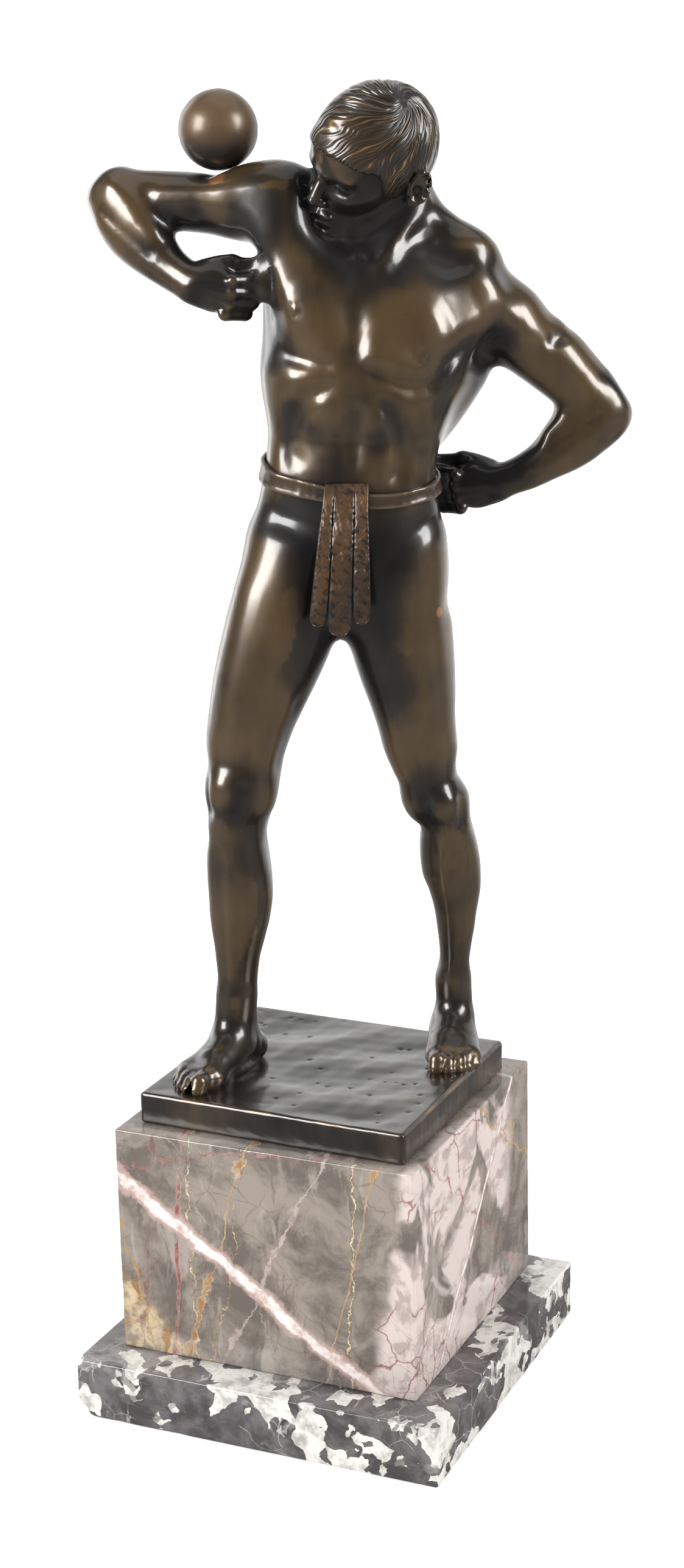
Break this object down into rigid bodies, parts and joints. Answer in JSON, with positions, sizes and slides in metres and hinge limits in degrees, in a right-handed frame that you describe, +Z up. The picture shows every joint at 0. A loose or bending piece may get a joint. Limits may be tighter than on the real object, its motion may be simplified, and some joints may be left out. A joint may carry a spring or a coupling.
{
  "type": "ball player statuette",
  "caption": "Bronze statuette of a loinclothed athlete balancing a ball on the raised upper arm, on a ground plate, a marble block and a marble slab.",
  "frame": {"origin": "centre of the slab's underside, on the surface that the statuette stands on", "axes": "+Z up, +X to the right along the slab's front, +Y from the front to the back"},
  "size_m": [0.2338, 0.2001, 0.6316],
  "materials": {
    "grey_marble": "polished grey marble with cream patches",
    "taupe_marble": "polished taupe marble with white, pink and ochre veins",
    "dark_bronze": "dark brown patina, waxed",
    "brown_bronze": "reddish brown patina, rougher",
    "worn_bronze": "lighter brown patina, worn smooth"
  },
  "bodies": {
    "root": {"marble_slab": "grey_marble", "marble_block": "taupe_marble", "figure": "dark_bronze", "loincloth": "brown_bronze", "ball": "worn_bronze"}
  },
  "joints": []
}
